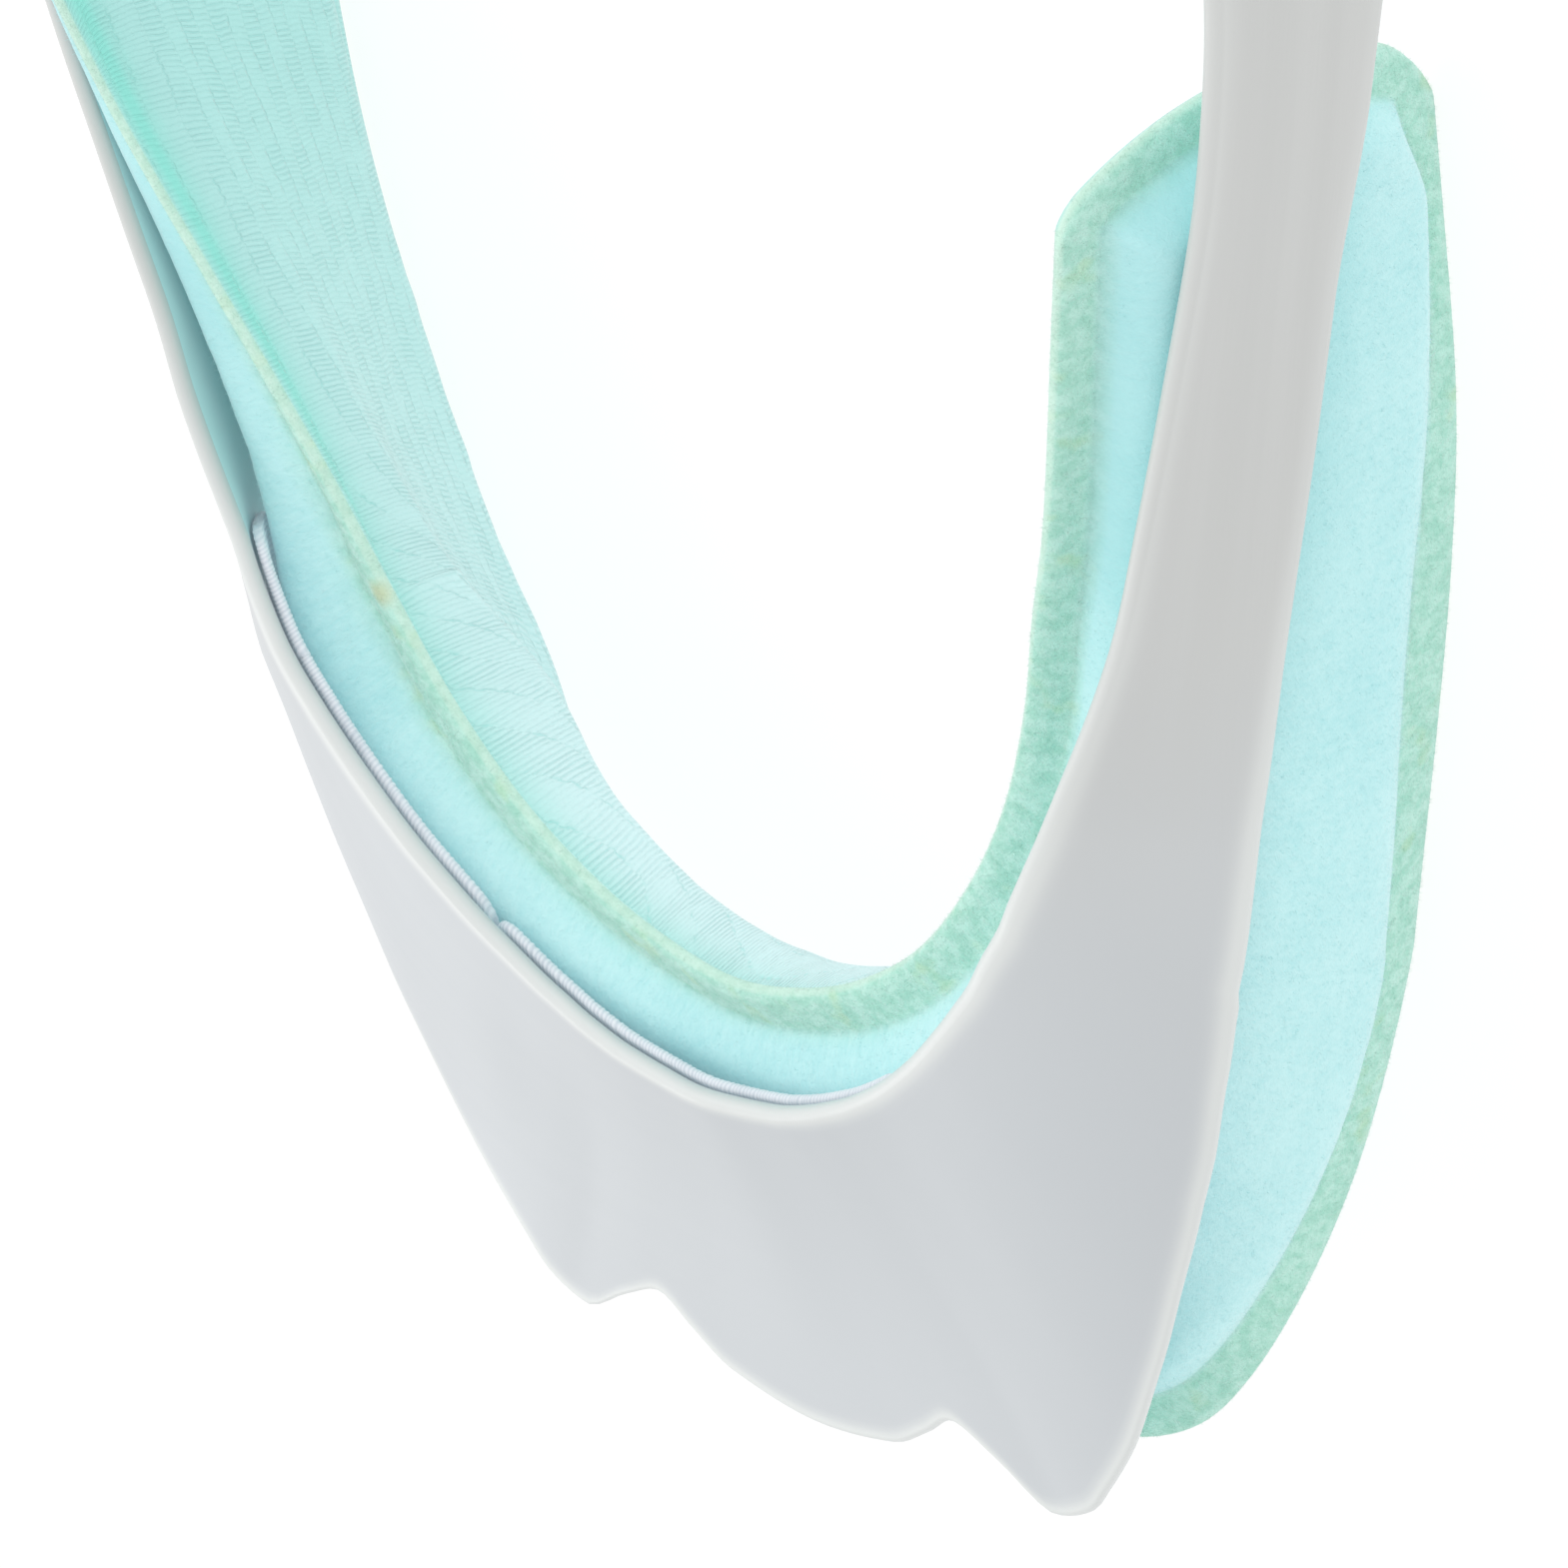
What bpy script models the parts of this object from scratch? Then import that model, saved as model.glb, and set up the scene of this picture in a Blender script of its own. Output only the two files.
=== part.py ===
"""Neck support collar: a moulded U-shaped shell, a foam pad inside it and the hook tape that joins the two.

The front of the collar faces -Y, its arms run back along +Y, and +Z is the head side. Everything follows one
form surface, the middle of the pad's pressed border, which is lofted through the sections tabled below.
"""

import math

import bpy
import numpy as np

# Driving sizes, in metres

PAD_DEPTH = 0.170  # from the front edge of the bib to the ends of the pad
PAD_HEIGHT = 0.0443  # from the foot of the pad to its top at the ends
TOP_HALF_WIDTH = 0.0675  # half the width between the tops of the pad's ends
FOOT_HALF_WIDTH = 0.0734  # half the width between the feet of the pad
ARM_REACH = 0.047  # how far the shell's arms run on past the pad
BOW_DEPTH = 0.005  # how far the middle of the pad leaves a straight line from its foot to its top

BORDER_THICKNESS = 0.0022  # pressed rim all round the pad
BORDER_WIDTH = 0.0055
SHOULDER_WIDTH = 0.0060  # from the pressed rim up to the full cushion
CUSHION_RISE = 0.0044  # how far the cushion usually stands above the pressed rim
END_BULGE = 0.0065  # how far the pad's ends stand out in the middle
FOOT_CORNER = 0.0050  # radius of the lower corner at the pad's ends

TAPE_THICKNESS = 0.0013
TAPE_WIDTH = 0.012
LOWER_TAPE_WIDTH = 0.007
TAPE_CORNER = 0.003
TAPE_INSET = 0.0009  # from the edge of the shell to the edge of the tape
CLEARANCE = 0.0003  # between pieces that touch

SHELL_WALL = 0.0020
SHELL_EDGE = 0.0006  # rounding of the shell's edges
SHELL_LIFT = 0.0050  # most that the shell stands off the pad and its tape

ROW_PITCH = 0.0052  # spacing of the mesh rows along the collar
LOBE_PITCH = 0.0024  # the same along the lobes
LENGTHS_AT = 0.6  # lengths along the collar are measured this share of the way up from the foot
FILL_START = 0.15  # the cushion's extra rise towards the shell begins this share of the way up
FILL_SPAN = 0.45  # and is whole this much further up
LEVEL_FOOT = 0.1  # a foot lower than this share of PAD_HEIGHT has its rim cut level with the floor

# Sections from the middle of the front back to the end of the pad, right half. The top is the edge at the
# head, the foot the edge at the chest. Out, back and up are shares of the half width of that edge, of PAD_DEPTH
# and of PAD_HEIGHT. Bow is a share of BOW_DEPTH, towards the neck, or away from it where negative. The last two
# columns are the cushion on the side of the shell and on the side of the neck, as shares of CUSHION_RISE.
PAD_SECTIONS = (
    # top: out, back, up    foot: out, back, up    bow, shell side, neck side
    ((0.00, 0.336, 0.78), (0.00, 0.00, 0.52), (0.7, 1.15, 2.0)),
    ((0.13, 0.346, 0.78), (0.31, 0.005, 0.515), (0.7, 1.25, 2.0)),
    ((0.267, 0.37, 0.78), (0.57, 0.03, 0.49), (0.5, 1.35, 2.2)),
    ((0.41, 0.413, 0.78), (0.705, 0.09, 0.40), (-0.1, 1.40, 2.5)),
    ((0.533, 0.474, 0.78), (0.80, 0.212, 0.18), (-1.0, 1.65, 2.9)),
    ((0.627, 0.541, 0.78), (0.86, 0.37, 0.00), (-1.3, 1.95, 2.1)),
    ((0.70, 0.614, 0.80), (0.93, 0.533, 0.00), (-0.9, 1.50, 1.3)),
    ((0.763, 0.688, 0.84), (0.975, 0.651, 0.00), (-0.4, 1.42, 0.9)),
    ((0.83, 0.76, 0.88), (1.00, 0.756, 0.00), (-0.1, 1.34, 0.7)),
    ((0.921, 0.877, 0.95), (1.00, 0.877, 0.00), (0.0, 1.30, 0.7)),
    ((1.00, 1.00, 1.00), (0.995, 0.99, 0.00), (0.0, 1.30, 0.7)),
)

# Sections along the bare arms: out and up as above, and back is a share of ARM_REACH past the pad's end.
ARM_SECTIONS = (
    # top: out, back, up    foot: out, back, up    bow, shell side, neck side
    ((1.03, 0.33, 1.03), (0.99, 0.35, 0.00), (0.0, 1.0, 0.7)),
    ((1.037, 0.68, 1.04), (0.967, 0.70, 0.00), (0.0, 1.0, 0.7)),
    ((1.02, 1.02, 1.04), (0.94, 1.04, 0.00), (0.0, 1.0, 0.7)),
)

# Edges of the shell. Around counts the sections above, and low and high say where between the foot (0) and
# the top (1) of the form surface the shell starts and ends there. The last two columns are shares of
# SHELL_LIFT, at the low edge and at the high one.
SHELL_EDGES = (
    # around, low, high, low lift, high lift
    (0.00, -0.07, 0.90, 0.16, 0.46),
    (0.50, -0.035, 0.897, 0.18, 0.42),
    (0.75, 0.025, 0.895, 0.22, 0.42),
    (1.00, 0.083, 0.892, 0.26, 0.42),
    (1.25, 0.02, 0.893, 0.28, 0.40),
    (1.50, -0.07, 0.895, 0.28, 0.38),
    (1.75, -0.045, 0.896, 0.38, 0.34),
    (2.00, 0.015, 0.896, 0.48, 0.32),
    (2.50, 0.11, 0.896, 0.62, 0.28),
    (3.00, 0.215, 0.90, 0.78, 0.30),
    (3.50, 0.33, 0.905, 0.94, 0.38),
    (4.00, 0.425, 0.91, 0.94, 0.46),
    (4.50, 0.51, 0.925, 0.96, 0.64),
    (5.00, 0.55, 0.928, 1.00, 0.74),
    (5.50, 0.555, 0.93, 0.72, 0.68),
    (6.00, 0.545, 0.93, 0.36, 0.56),
    (7.00, 0.515, 0.92, 0.10, 0.46),
    (8.00, 0.485, 0.91, 0.00, 0.18),
    (9.00, 0.44, 0.86, 0.00, 0.00),
    (10.0, 0.38, 0.81, 0.22, 0.00),
    (11.0, 0.355, 0.79, 0.60, 0.08),
    (12.0, 0.36, 0.79, 0.80, 0.08),
    (13.0, 0.37, 0.78, 0.80, 0.08),
)

FIRST_LOBES = 2.4  # the lobes end here, counted in sections
PAD_END = len(PAD_SECTIONS) - 1
ARM_END = PAD_END + len(ARM_SECTIONS)
ARM_TIP = 0.42  # length of the rounded tip, in sections

# Where the strips of hook tape start and end on the shell's inner face, counted in sections. The side and
# front strips follow the shell's high edge, the lower ones its low edge.
FRONT_TAPE_END = 2.70
SIDE_TAPE = (2.73, 5.90)
LOWER_TAPE = (3.00, 4.45)

SHELL_COLOUR = (0.64, 0.67, 0.69, 1.0)
PAD_COLOUR = (0.46, 0.82, 0.80, 1.0)
TAPE_COLOUR = (0.42, 0.57, 0.63, 1.0)

SHELL_INNER = BORDER_THICKNESS / 2 + CUSHION_RISE + CLEARANCE + TAPE_THICKNESS + CLEARANCE


def section_rows():
    """Sections as rows in metres, with y at 0 on the bib's front edge.

    Each row holds top x, y, z, foot x, y, z, bow, and the cushion's rise towards the shell and the neck.
    """
    rows = []
    for sections, start, reach in ((PAD_SECTIONS, 0.0, PAD_DEPTH), (ARM_SECTIONS, PAD_DEPTH, ARM_REACH)):
        for top, foot, (bow, shell_side, neck_side) in sections:
            rows.append(
                (
                    top[0] * TOP_HALF_WIDTH,
                    start + top[1] * reach,
                    top[2] * PAD_HEIGHT,
                    foot[0] * FOOT_HALF_WIDTH,
                    start + foot[1] * reach,
                    foot[2] * PAD_HEIGHT,
                    bow * BOW_DEPTH,
                    shell_side * CUSHION_RISE,
                    neck_side * CUSHION_RISE,
                )
            )
    rows = np.array(rows)
    mirrored = rows[1] * (-1, 1, 1, -1, 1, 1, 1, 1, 1)
    beyond = 2 * rows[-1] - rows[-2]
    return np.vstack((mirrored, rows, beyond))


ROWS = section_rows()


def section(around):
    """The section at this count, on a smooth curve through the tabled ones, with no foot below the floor."""
    first = min(max(math.floor(around), 0), ARM_END - 1)
    t = around - first
    before, here, there, after = ROWS[first : first + 4]
    bend = 2 * before - 5 * here + 4 * there - after
    swing = 3 * here - before - 3 * there + after
    row = here + 0.5 * ((there - before) * t + bend * t**2 + swing * t**3)
    row[5] = max(row[5], 0.0)
    return row


def ruled(around, across):
    row = section(around)
    return row[3:6] + (row[0:3] - row[3:6]) * across


def facing(surface, around, across):
    """Unit normal of a surface function, pointing away from the neck."""
    step = 0.001
    along = surface(around + step, across) - surface(around - step, across)
    up = surface(around, across + step) - surface(around, across - step)
    normal = np.cross(along, up)
    return normal / np.linalg.norm(normal)


def form(around, across):
    """A point of the form surface: across runs from 0 at the foot to 1 at the top."""
    sag = section(around)[6] * 4 * across * (1 - across)
    return ruled(around, across) - sag * facing(ruled, around, 0.5)


def outside(around, across, distance):
    """The point this far outside the form surface, or inside it where the distance is negative."""
    return form(around, across) + distance * facing(form, around, across)


def width_at(around):
    row = section(around)
    return np.linalg.norm(row[0:3] - row[3:6])


def smooth_table(table, column, around):
    """A tabled value between its rows, on a curve that never overshoots them."""
    places = [row[0] for row in table]
    values = [row[column] for row in table]
    k = min(max(np.searchsorted(places, around, side="right") - 1, 0), len(places) - 2)
    slopes = [(values[i + 1] - values[i]) / (places[i + 1] - places[i]) for i in range(len(places) - 1)]

    def tangent(i):
        if i == 0:
            return 0.0
        if i == len(places) - 1:
            return slopes[-1]
        if slopes[i - 1] * slopes[i] <= 0:
            return 0.0
        return 2 * slopes[i - 1] * slopes[i] / (slopes[i - 1] + slopes[i])

    gap = places[k + 1] - places[k]
    t = (around - places[k]) / gap
    start = (1 + 2 * t) * (1 - t) ** 2 * values[k] + t * (1 - t) ** 2 * gap * tangent(k)
    end = t * t * (3 - 2 * t) * values[k + 1] + t * t * (t - 1) * gap * tangent(k + 1)
    return start + end


def stations(start, end, pitch):
    """Counts from start to end, evenly spaced in length along the middle of the form surface."""
    fine = np.linspace(start, end, 40 * max(1, math.ceil(end - start)) + 1)
    points = np.array([form(a, LENGTHS_AT) for a in fine])
    lengths = np.concatenate(([0.0], np.cumsum(np.linalg.norm(np.diff(points, axis=0), axis=1))))
    steps = max(2, round(lengths[-1] / pitch))
    return list(np.interp(np.linspace(0, lengths[-1], steps + 1), lengths, fine))


def length_between(start, end):
    points = np.array([form(a, LENGTHS_AT) for a in np.linspace(start, end, 41)])
    return np.linalg.norm(np.diff(points, axis=0), axis=1).sum()


def shell_point(around, across, distance):
    """The point this far outside the form surface, moved out by the shell's lift there."""
    low, high, low_lift, high_lift = (smooth_table(SHELL_EDGES, column, around) for column in (1, 2, 3, 4))
    share = (across - low) / (high - low)
    lift = SHELL_LIFT * (low_lift + (high_lift - low_lift) * share)
    return outside(around, across, distance + lift)


def shell_side_rise(row, across):
    """The cushion's rise towards the shell: what it has above the usual rise fills in from the foot up."""
    return CUSHION_RISE + (row[7] - CUSHION_RISE) * smoothstep((across - FILL_START) / FILL_SPAN)


def smoothstep(share):
    share = min(max(share, 0.0), 1.0)
    return share * share * (3 - 2 * share)


def material(name, colour, roughness):
    made = bpy.data.materials.new(name)
    made.use_nodes = True
    shader = made.node_tree.nodes["Principled BSDF"]
    shader.inputs["Base Color"].default_value = colour
    shader.inputs["Roughness"].default_value = roughness
    shader.inputs["Metallic"].default_value = 0.0
    made.diffuse_color = colour
    return made


def add_object(name, points, faces, finish, collection, parent):
    mesh = bpy.data.meshes.new(name)
    mesh.from_pydata([tuple(point) for point in points], [], faces)
    mesh.materials.append(finish)
    mesh.shade_smooth()
    mesh.set_sharp_from_angle(angle=math.radians(50))
    made = bpy.data.objects.new(name, mesh)
    collection.objects.link(made)
    made.parent = parent
    return made


def grid_faces(rows, columns, offset=0, flip=False):
    faces = []
    for i in range(rows - 1):
        for j in range(columns - 1):
            corner = offset + i * columns + j
            face = (corner, corner + columns, corner + columns + 1, corner + 1)
            faces.append(face[::-1] if flip else face)
    return faces


def mirror_across_middle(made):
    mirror = made.modifiers.new("mirror", "MIRROR")
    mirror.use_clip = True
    mirror.merge_threshold = 0.0001


def thicken(made, thickness, rounding):
    """Wall behind an open face, with rounded edges."""
    wall = made.modifiers.new("wall", "SOLIDIFY")
    wall.thickness = thickness
    wall.offset = -1.0
    wall.use_even_offset = False
    edge = made.modifiers.new("edge", "BEVEL")
    edge.width = rounding
    edge.segments = 2
    edge.limit_method = "ANGLE"
    edge.angle_limit = math.radians(60)
    edge.use_clamp_overlap = True


def build_shell(collection, parent):
    """One moulded wall: front plate with three lobes, running back into two narrow arms with round tips."""
    tip_start = ARM_END - ARM_TIP
    rows = stations(0.0, FIRST_LOBES, LOBE_PITCH)
    rows += stations(FIRST_LOBES, tip_start, ROW_PITCH)[1:]
    rows += [tip_start + ARM_TIP * math.sin(math.radians(angle)) for angle in (20, 38, 54, 68, 80)]
    columns = 9
    points = []
    for around in rows:
        low = smooth_table(SHELL_EDGES, 1, around)
        high = smooth_table(SHELL_EDGES, 2, around)
        past = max(0.0, around - tip_start) / ARM_TIP
        half = 0.5 * (high - low) * math.sqrt(1 - past**2)
        middle = 0.5 * (high + low)
        for across in np.linspace(middle - half, middle + half, columns):
            point = shell_point(around, across, SHELL_INNER + SHELL_WALL)
            if around == 0.0:
                point[0] = 0.0
            points.append(point)
    finish = material("shell_plastic", SHELL_COLOUR, 0.38)
    made = add_object("shell", points, grid_faces(len(rows), columns), finish, collection, parent)
    mirror_across_middle(made)
    thicken(made, SHELL_WALL, SHELL_EDGE)


def pad_end(across):
    """Where the pad ends at this height, counted in sections: bulging, with a rounder corner at the foot."""
    cut_back = END_BULGE * abs(2 * across - 1) ** 2.2
    from_foot = across * width_at(PAD_END)
    if from_foot < FOOT_CORNER:
        cut_back += FOOT_CORNER - math.sqrt(FOOT_CORNER**2 - (FOOT_CORNER - from_foot) ** 2)
    return PAD_END - cut_back / length_between(PAD_END - 1, PAD_END)


def build_pad(collection, parent):
    """Foam cushion with a pressed rim all round. Its foot is cut level where the collar stands on it."""
    end_start = PAD_END - 1
    end_length = length_between(end_start, PAD_END)
    last = PAD_END - (BORDER_WIDTH + SHOULDER_WIDTH) / end_length
    rows = stations(0.0, last, ROW_PITCH)
    rows += [last + (PAD_END - last) * share for share in (0.27, 0.52, 0.76, 1.0)]
    outer = []
    inner = []
    columns = 0
    for around in rows:
        width = width_at(around)
        from_edge = [0.0, 0.35 * BORDER_WIDTH, BORDER_WIDTH]
        from_edge += [BORDER_WIDTH + SHOULDER_WIDTH / 2, BORDER_WIDTH + SHOULDER_WIDTH]
        near = [distance / width for distance in from_edge]
        middle = list(np.linspace(near[-1], 1 - near[-1], 5)[1:-1])
        acrosses = near + middle + [1 - share for share in reversed(near)]
        columns = len(acrosses)
        for across in acrosses:
            end = pad_end(across)
            place = around
            if around > end_start:
                place = end_start + (around - end_start) * (end - end_start)
            to_edge = min(across, 1 - across) * width
            to_end = (end - place) * end_length
            fullness = smoothstep((min(to_edge, to_end) - BORDER_WIDTH) / SHOULDER_WIDTH)
            normal = facing(form, place, across)
            row = section(place)
            foot = row[5] / PAD_HEIGHT
            level = smoothstep(1 - to_edge / BORDER_WIDTH) * smoothstep(1 - foot / LEVEL_FOOT)
            level *= across < 0.5
            normal[2] *= 1 - level
            normal /= np.linalg.norm(normal)
            base = form(place, across)
            out_point = base + normal * (BORDER_THICKNESS / 2 + fullness * shell_side_rise(row, across))
            in_point = base - normal * (BORDER_THICKNESS / 2 + fullness * row[8])
            if around == 0.0:
                out_point[0] = 0.0
                in_point[0] = 0.0
            outer.append(out_point)
            inner.append(in_point)
    count = len(outer)
    faces = grid_faces(len(rows), columns)
    faces += grid_faces(len(rows), columns, offset=count, flip=True)
    for i in range(len(rows) - 1):
        for j, flip in ((0, False), (columns - 1, True)):
            here = i * columns + j
            there = here + columns
            face = (here, here + count, there + count, there)
            faces.append(face[::-1] if flip else face)
    for j in range(columns - 1):
        here = (len(rows) - 1) * columns + j
        faces.append((here, here + count, here + count + 1, here + 1))
    finish = material("pad_foam", PAD_COLOUR, 0.95)
    made = add_object("pad", outer + inner, faces, finish, collection, parent)
    mirror_across_middle(made)


def tape_points(places, side, edge_column, upwards, tape_width):
    """Rows of one strip that follows an edge of the shell on its inner face."""
    face = SHELL_INNER - CLEARANCE
    points = []
    length = length_between(places[0], places[-1])
    columns = 4
    for around in places:
        width = width_at(around)
        edge = smooth_table(SHELL_EDGES, edge_column, around)
        start = edge - upwards * TAPE_INSET / width
        run = min(around - places[0], places[-1] - around) / (places[-1] - places[0]) * length
        rounding = 0.0
        if run < TAPE_CORNER:
            rounding = TAPE_CORNER - math.sqrt(TAPE_CORNER**2 - (TAPE_CORNER - run) ** 2)
        for share in np.linspace(rounding / tape_width, 1 - rounding / tape_width, columns):
            across = start - upwards * share * tape_width / width
            point = shell_point(around, across, face)
            points.append(point * (side, 1, 1))
    return points, columns


def build_tape(name, span, side, edge_column, upwards, tape_width, finish, collection, parent):
    """One strip of hook tape with round corners, on the side of the collar that side gives as -1 or 1."""
    start, end = span
    places = stations(start, end, ROW_PITCH)
    length = length_between(start, end)
    near = TAPE_CORNER / length * (end - start)
    places = [start, start + 0.25 * near, start + near] + [p for p in places if start + near < p < end - near]
    places += [end - near, end - 0.25 * near, end]
    points, columns = tape_points(places, side, edge_column, upwards, tape_width)
    flip = (side < 0) != (upwards > 0)
    made = add_object(name, points, grid_faces(len(places), columns, flip=flip), finish, collection, parent)
    thicken(made, TAPE_THICKNESS, TAPE_THICKNESS / 6)


def build_front_tape(finish, collection, parent):
    places = stations(0.0, FRONT_TAPE_END, ROW_PITCH)
    points, columns = tape_points(places, 1, 2, 1, TAPE_WIDTH)
    for point in points[:columns]:
        point[0] = 0.0
    faces = grid_faces(len(places), columns, flip=True)
    made = add_object("hook_tape_front", points, faces, finish, collection, parent)
    mirror_across_middle(made)
    thicken(made, TAPE_THICKNESS, TAPE_THICKNESS / 6)


def clear_scene():
    for old in list(bpy.data.objects):
        bpy.data.objects.remove(old, do_unlink=True)


def centre_on_floor(parent, collection):
    """Moves the collar so that its box is centred over the origin and its foot is at zero."""
    bpy.context.view_layer.update()
    graph = bpy.context.evaluated_depsgraph_get()
    corners = []
    for made in collection.objects:
        if made.type == "MESH":
            shown = made.evaluated_get(graph)
            corners += [shown.matrix_world @ vertex.co for vertex in shown.data.vertices]
    corners = np.array([tuple(corner) for corner in corners])
    low = corners.min(axis=0)
    high = corners.max(axis=0)
    parent.location = (-(low[0] + high[0]) / 2, -(low[1] + high[1]) / 2, -low[2])


def main():
    clear_scene()
    collection = bpy.data.collections.new("neck_support_collar")
    bpy.context.scene.collection.children.link(collection)
    parent = bpy.data.objects.new("collar_centre", None)
    collection.objects.link(parent)
    build_shell(collection, parent)
    build_pad(collection, parent)
    tape = material("hook_tape", TAPE_COLOUR, 0.85)
    build_front_tape(tape, collection, parent)
    for side, hand in ((-1, "left"), (1, "right")):
        name = "hook_tape_side_" + hand
        build_tape(name, SIDE_TAPE, side, 2, 1, TAPE_WIDTH, tape, collection, parent)
        name = "hook_tape_lower_" + hand
        build_tape(name, LOWER_TAPE, side, 1, -1, LOWER_TAPE_WIDTH, tape, collection, parent)
    centre_on_floor(parent, collection)


main()
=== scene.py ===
import math

import bmesh
import bpy
import numpy as np
from mathutils import Matrix, Vector


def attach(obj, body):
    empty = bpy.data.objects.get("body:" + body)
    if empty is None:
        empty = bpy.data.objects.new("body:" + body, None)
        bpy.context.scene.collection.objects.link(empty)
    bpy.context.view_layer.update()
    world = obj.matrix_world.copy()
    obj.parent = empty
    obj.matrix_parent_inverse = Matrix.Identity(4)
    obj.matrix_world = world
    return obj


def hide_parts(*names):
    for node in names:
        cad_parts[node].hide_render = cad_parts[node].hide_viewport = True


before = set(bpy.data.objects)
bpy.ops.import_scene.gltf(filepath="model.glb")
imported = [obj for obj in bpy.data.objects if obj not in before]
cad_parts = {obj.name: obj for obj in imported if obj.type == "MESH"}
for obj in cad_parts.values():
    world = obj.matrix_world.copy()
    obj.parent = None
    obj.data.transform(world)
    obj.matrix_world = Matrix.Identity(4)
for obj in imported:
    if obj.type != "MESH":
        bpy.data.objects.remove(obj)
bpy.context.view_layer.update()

# The pad: one long foam cushion, laminated with brushed loop cloth on the side of the shell and with ribbed
# knit on the side of the neck. A heated tool presses its border thin all round, which leaves the cloth there
# greener and matted. It sticks to the hook tape and stands on its two long feet.

PAD_DEPTH = 0.170
PAD_HEIGHT = 0.0443
TOP_HALF_WIDTH = 0.0675
FOOT_HALF_WIDTH = 0.0734
ARM_REACH = 0.047
BOW_DEPTH = 0.005
BORDER_THICKNESS = 0.0022
BORDER_WIDTH = 0.0055
LEFT_TOP_BORDER = 0.0032  # on the outside of the arms the border was pressed less wide, and not the same
RIGHT_TOP_BORDER = 0.0041
ARM_FOOT_BORDER = 0.0032
SHOULDER_WIDTH = 0.0060
CUSHION_RISE = 0.0044
END_BULGE = 0.0065
FOOT_CORNER = 0.0060
TOP_CORNER = 0.0028
CLEARANCE = 0.0003
CUT_EDGE_ROUNDING = 0.0020
NECK_BORDER = 0.0030  # the knit side is pressed less wide than the other
RING_PITCH = 0.0013
# how far in from the border's edge the rings have their points, in millimetres
EDGE_STEPS = (0, 0.12, 0.3, 0.55, 0.9, 1.5, 2.3, 3.2, 4.1, 4.9, 5.5, 5.9, 6.4, 7.0, 7.8, 8.8, 10.0, 11.5)
END_LENGTH = 0.0125  # the last part of the pad, where the rings draw together to the bulging end
FRONT_TO_CENTRE = 0.107935  # from the front edge of the pad back to the middle of the collar's box

# top: out, back, up    foot: out, back, up    bow, shell side, neck side
PAD_SECTIONS = (
    ((0.00, 0.336, 0.78), (0.00, 0.00, 0.52), (0.7, 1.15, 2.0)),
    ((0.13, 0.346, 0.78), (0.31, 0.005, 0.515), (0.7, 1.25, 2.0)),
    ((0.267, 0.37, 0.78), (0.57, 0.03, 0.49), (0.5, 1.35, 2.2)),
    ((0.41, 0.413, 0.78), (0.705, 0.09, 0.40), (-0.1, 1.40, 2.5)),
    ((0.533, 0.474, 0.78), (0.80, 0.212, 0.18), (-1.0, 1.65, 2.9)),
    ((0.627, 0.541, 0.78), (0.86, 0.37, 0.00), (-1.3, 1.95, 2.1)),
    ((0.70, 0.614, 0.80), (0.93, 0.533, 0.00), (-0.9, 1.50, 1.3)),
    ((0.763, 0.688, 0.84), (0.975, 0.651, 0.00), (-0.4, 1.42, 0.9)),
    ((0.83, 0.76, 0.88), (1.00, 0.756, 0.00), (-0.1, 1.34, 0.7)),
    ((0.921, 0.877, 0.95), (1.00, 0.877, 0.00), (0.0, 1.30, 0.7)),
    ((1.00, 1.00, 1.00), (0.995, 0.99, 0.00), (0.0, 1.30, 0.7)),
)
ARM_SECTIONS = (
    ((1.03, 0.33, 1.03), (0.99, 0.35, 0.00), (0.0, 1.0, 0.7)),
    ((1.037, 0.68, 1.04), (0.967, 0.70, 0.00), (0.0, 1.0, 0.7)),
    ((1.02, 1.02, 1.04), (0.94, 1.04, 0.00), (0.0, 1.0, 0.7)),
)
PAD_END = len(PAD_SECTIONS) - 1
ARM_END = PAD_END + len(ARM_SECTIONS)


def section_rows():
    """Rows of top x, y, z, foot x, y, z, bow and two rises, in metres, with one more row at each end."""
    rows = []
    spans = ((PAD_SECTIONS, 0.0, PAD_DEPTH), (ARM_SECTIONS, PAD_DEPTH, ARM_REACH))
    for sections, start, reach in spans:
        for top, foot, (bow, shell_side, neck_side) in sections:
            edges = []
            for (out, back, up), half_width in ((top, TOP_HALF_WIDTH), (foot, FOOT_HALF_WIDTH)):
                edges += [out * half_width, start + back * reach - FRONT_TO_CENTRE, up * PAD_HEIGHT]
            rows.append(edges + [bow * BOW_DEPTH, shell_side * CUSHION_RISE, neck_side * CUSHION_RISE])
    rows = np.array(rows)
    mirrored = rows[1] * (-1, 1, 1, -1, 1, 1, 1, 1, 1)
    return np.vstack((mirrored, rows, 2 * rows[-1] - rows[-2]))


ROWS = section_rows()


def section(around):
    """The sections at these counts, on a smooth curve through the tabled ones, for a whole array at once."""
    around = np.asarray(around, float)
    first = np.clip(np.floor(around), 0, ARM_END - 1).astype(int)
    t = (around - first)[..., None]
    before, here, there, after = (ROWS[first + k] for k in range(4))
    bend = 2 * before - 5 * here + 4 * there - after
    swing = 3 * here - before - 3 * there + after
    row = here + 0.5 * ((there - before) * t + bend * t**2 + swing * t**3)
    row[..., 5] = np.maximum(row[..., 5], 0.0)
    return row


def ruled(around, across):
    row = section(around)
    return row[..., 3:6] + (row[..., 0:3] - row[..., 3:6]) * np.asarray(across)[..., None]


def facing(surface, around, across):
    """Unit normals of a surface function, pointing away from the neck."""
    along = surface(around + 0.03, across) - surface(around - 0.03, across)
    up = surface(around, across + 0.001) - surface(around, across - 0.001)
    normal = np.cross(along, up)
    return normal / np.linalg.norm(normal, axis=-1, keepdims=True)


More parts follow.
